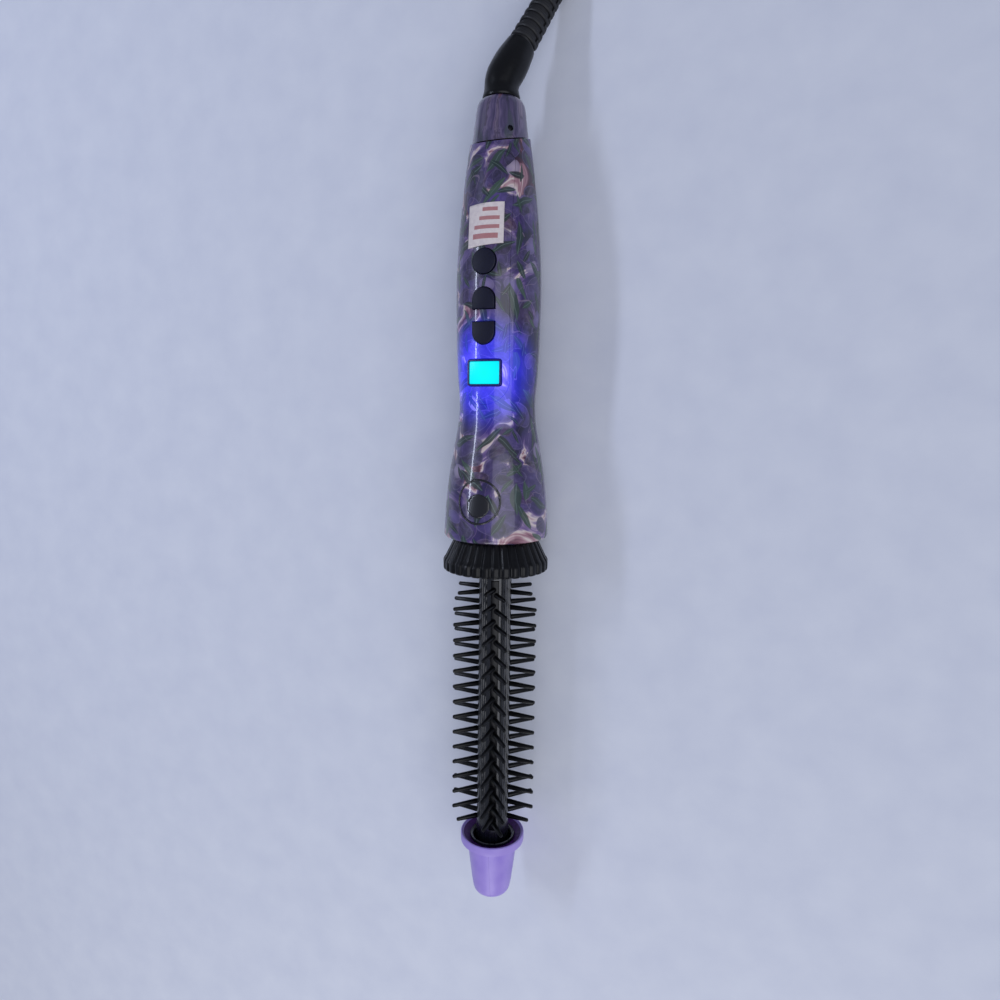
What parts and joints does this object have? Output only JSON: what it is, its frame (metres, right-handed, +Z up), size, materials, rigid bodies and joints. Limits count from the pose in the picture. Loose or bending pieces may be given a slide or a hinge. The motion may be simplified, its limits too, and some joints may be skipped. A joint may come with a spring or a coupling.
{
  "type": "heated round styling brush",
  "caption": "Slim heated round hair brush with a fluted heat collar, splayed bristles, cool tip, printed handle with display and buttons, and a swivel mains cord.",
  "frame": {"origin": "middle of the brush's footprint, without its strain relief and cord, at the heat collar's lowest point", "axes": "+Y along the brush towards the cord, +Z up through the buttons, +X to the right with the cord end ahead"},
  "size_m": [0.0571, 0.5974, 0.0432],
  "materials": {
    "floral_print": "glossy lacquer over an all-over floral print",
    "smeared_print": "glossy lacquer over a stretched print",
    "black_gloss": "glossy black",
    "black_satin": "satin black",
    "black_rubber": "soft matt black",
    "cool_lavender": "satin lavender, darker inside the rim",
    "button_navy": "glossy dark navy",
    "display_cyan": "lit cyan display behind a clear window",
    "display_frame": "glossy dark frame",
    "label_cream": "printed cream label with plain red bars",
    "badge_silver": "silvery printed ring",
    "board_green": "green solder resist",
    "component_black": "moulded epoxy",
    "steel": "zinc plated",
    "brass": "drawn brass",
    "ceramic_white": "unglazed white",
    "wire_red": "silicone wire",
    "glass_clear": "clear"
  },
  "bodies": {
    "handle": {"front_shell": "floral_print", "rear_shell": "floral_print", "control_panel": "floral_print", "end_cap": "smeared_print", "cap_pin": "black_gloss", "display_frame": "display_frame", "display_glass": "display_cyan", "display_module": "component_black", "control_board": "board_green", "controller_chip": "component_black", "power_switch": "component_black", "plus_switch": "component_black", "minus_switch": "component_black", "power_board": "board_green", "filter_capacitor": "component_black", "mains_fuse": "glass_clear", "triac": "component_black", "relay": "component_black", "shell_screw_low": "steel", "shell_screw_high": "steel", "paper_label": "label_cream", "badge_ring": "badge_silver", "heat_collar": "black_satin", "insulating_sleeve": "ceramic_white", "barrel": "black_gloss", "bristle_strip_1": "black_satin", "bristle_strip_2": "black_satin", "bristle_strip_3": "black_satin", "bristle_strip_4": "black_satin", "heater_core": "ceramic_white", "thermal_fuse": "steel", "thermistor": "glass_clear", "heater_lead_live": "wire_red", "heater_lead_neutral": "ceramic_white", "cool_tip": "cool_lavender", "tip_insert": "black_gloss", "tip_screw": "steel", "brush_contact_1": "brass", "brush_contact_2": "brass", "cord_lead": "black_rubber", "cord_tail": "black_rubber", "cord_hank": "black_rubber", "cord_tie": "black_satin", "plug_body": "black_rubber", "plug_blade_left": "steel", "plug_blade_right": "steel"},
    "swivel": {"swivel_elbow": "black_satin", "strain_relief": "black_rubber", "slip_ring_1": "brass", "slip_ring_2": "brass", "swivel_retainer": "steel"},
    "power_key": {"power_button": "button_navy"},
    "plus_key": {"plus_button": "button_navy"},
    "minus_key": {"minus_button": "button_navy"}
  },
  "joints": [
    {"name": "cord_swivel", "type": "hinge", "parent": "handle", "child": "swivel", "pos_m": [0, 0.15034, 0.0216], "axis": [0, -1, 0], "continuous": true},
    {"name": "power_press", "type": "slide", "parent": "handle", "child": "power_key", "axis": [0, 0, -1], "range_m": [0, 0.0005], "stiffness_N_per_m": 800},
    {"name": "plus_press", "type": "slide", "parent": "handle", "child": "plus_key", "axis": [0, 0, -1], "range_m": [0, 0.0005], "stiffness_N_per_m": 800},
    {"name": "minus_press", "type": "slide", "parent": "handle", "child": "minus_key", "axis": [0, 0, -1], "range_m": [0, 0.0005], "stiffness_N_per_m": 800}
  ]
}
